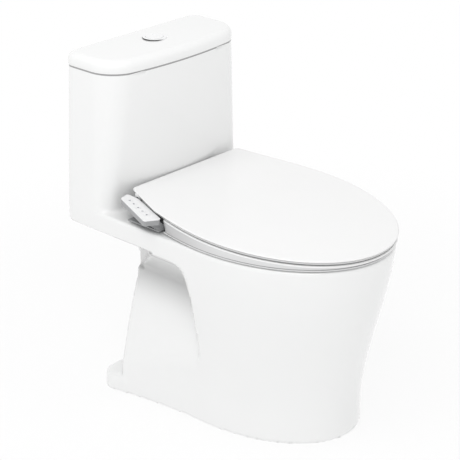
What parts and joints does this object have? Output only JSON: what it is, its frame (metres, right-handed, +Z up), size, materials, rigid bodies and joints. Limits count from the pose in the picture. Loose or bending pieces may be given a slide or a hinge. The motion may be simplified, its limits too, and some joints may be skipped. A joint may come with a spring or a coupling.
{
  "type": "bidet toilet",
  "caption": "White one-piece floor-standing bidet toilet with a bowed tank, flush button in the tank lid, sloping seat lid, side control panel and scooped pedestal.",
  "frame": {"origin": "centre of the floor outlet, at floor level", "axes": "+Z up, +Y to the wall behind the tank, -Y to the front of the bowl, -X to the control panel"},
  "size_m": [0.4087, 0.6374, 0.688],
  "materials": {
    "glazed_ceramic": "clear white glaze",
    "white_plastic": "polished moulding",
    "panel_plastic": "polished fascia",
    "key_plastic": "satin",
    "chrome": "bright plate",
    "valve_plastic": "as moulded",
    "rubber": "matt",
    "steel": "brushed",
    "brass": "turned",
    "soft_tube": "soft tube",
    "board": "coated board"
  },
  "bodies": {
    "toilet": {"ceramic_body": "glazed_ceramic", "unit_base": "white_plastic", "unit_cover": "white_plastic", "panel_housing": "white_plastic", "floor_bolt_caps": "white_plastic", "panel_face": "panel_plastic", "flush_valve_base": "valve_plastic", "flush_tower": "valve_plastic", "fill_valve": "valve_plastic", "fill_valve_cap": "valve_plastic", "shank_nut": "valve_plastic", "water_heater": "valve_plastic", "water_valve": "valve_plastic", "nozzle_guide": "valve_plastic", "mounting_plate": "valve_plastic", "lid_damper": "valve_plastic", "seat_damper": "valve_plastic", "cord_gland": "valve_plastic", "flush_gasket": "rubber", "shank_washer": "rubber", "outlet_seal": "rubber", "seat_anchors": "rubber", "keypad": "rubber", "floor_bolts": "steel", "floor_washers": "steel", "seat_bolts": "steel", "hinge_pins": "steel", "inlet_fitting": "brass", "refill_tube": "soft_tube", "control_board": "board"},
    "tank_lid": {"tank_lid": "glazed_ceramic", "button_bezel": "chrome", "button_nut": "valve_plastic"},
    "full_flush": {"full_flush_button": "chrome", "full_flush_rod": "valve_plastic"},
    "half_flush": {"half_flush_button": "chrome", "half_flush_rod": "valve_plastic"},
    "canister": {"flush_canister": "valve_plastic", "flush_seal": "rubber"},
    "float": {"fill_float": "valve_plastic"},
    "seat_lid": {"seat_lid": "white_plastic", "lid_bumpers": "rubber"},
    "seat_ring": {"seat_ring": "white_plastic", "seat_underside": "white_plastic", "seat_bumpers": "rubber"},
    "rear_nozzle": {"rear_wash_nozzle": "steel"},
    "front_nozzle": {"front_wash_nozzle": "steel"},
    "key_less": {"key_less": "key_plastic"},
    "key_front_wash": {"key_front_wash": "key_plastic"},
    "key_stop": {"key_stop": "key_plastic"},
    "key_rear_wash": {"key_rear_wash": "key_plastic"},
    "key_more": {"key_more": "key_plastic"}
  },
  "joints": [
    {"name": "tank_lid_lift", "type": "slide", "parent": "toilet", "child": "tank_lid", "axis": [0, 0, 1], "range_m": [0, 0.12]},
    {"name": "full_flush_press", "type": "slide", "parent": "tank_lid", "child": "full_flush", "axis": [0, 0, -1], "range_m": [0, 0.006], "stiffness_N_per_m": 600, "springref_m": -0.004},
    {"name": "half_flush_press", "type": "slide", "parent": "tank_lid", "child": "half_flush", "axis": [0, 0, -1], "range_m": [0, 0.006], "stiffness_N_per_m": 600, "springref_m": -0.004},
    {"name": "canister_lift", "type": "slide", "parent": "toilet", "child": "canister", "axis": [0, 0, 1], "range_m": [0, 0.02]},
    {"name": "float_travel", "type": "slide", "parent": "toilet", "child": "float", "axis": [0, 0, 1], "range_m": [0, 0.04]},
    {"name": "lid_hinge", "type": "hinge", "parent": "toilet", "child": "seat_lid", "pos_m": [0, 0.119, 0.4205], "axis": [-1, 0, 0], "range_deg": [0, 93]},
    {"name": "seat_hinge", "type": "hinge", "parent": "toilet", "child": "seat_ring", "pos_m": [0, 0.119, 0.4205], "axis": [-1, 0, 0], "range_deg": [0, 86.5]},
    {"name": "rear_nozzle_reach", "type": "slide", "parent": "toilet", "child": "rear_nozzle", "axis": [0, -0.8829, -0.4695], "range_m": [0, 0.045]},
    {"name": "front_nozzle_reach", "type": "slide", "parent": "toilet", "child": "front_nozzle", "axis": [0, -0.8829, -0.4695], "range_m": [0, 0.045]},
    {"name": "key_less_press", "type": "slide", "parent": "toilet", "child": "key_less", "axis": [0, 0.0541, -0.9985], "range_m": [0, 0.0008], "stiffness_N_per_m": 400, "springref_m": -0.001},
    {"name": "key_front_wash_press", "type": "slide", "parent": "toilet", "child": "key_front_wash", "axis": [0, 0.0541, -0.9985], "range_m": [0, 0.0008], "stiffness_N_per_m": 400, "springref_m": -0.001},
    {"name": "key_stop_press", "type": "slide", "parent": "toilet", "child": "key_stop", "axis": [0, 0.0541, -0.9985], "range_m": [0, 0.0008], "stiffness_N_per_m": 400, "springref_m": -0.001},
    {"name": "key_rear_wash_press", "type": "slide", "parent": "toilet", "child": "key_rear_wash", "axis": [0, 0.0541, -0.9985], "range_m": [0, 0.0008], "stiffness_N_per_m": 400, "springref_m": -0.001},
    {"name": "key_more_press", "type": "slide", "parent": "toilet", "child": "key_more", "axis": [0, 0.0541, -0.9985], "range_m": [0, 0.0008], "stiffness_N_per_m": 400, "springref_m": -0.001}
  ],
  "couplings": [
    {"joint": "canister_lift", "follows": "full_flush_press", "ratio": 3.333},
    {"joint": "seat_hinge", "follows": "lid_hinge", "ratio": 0.93}
  ]
}
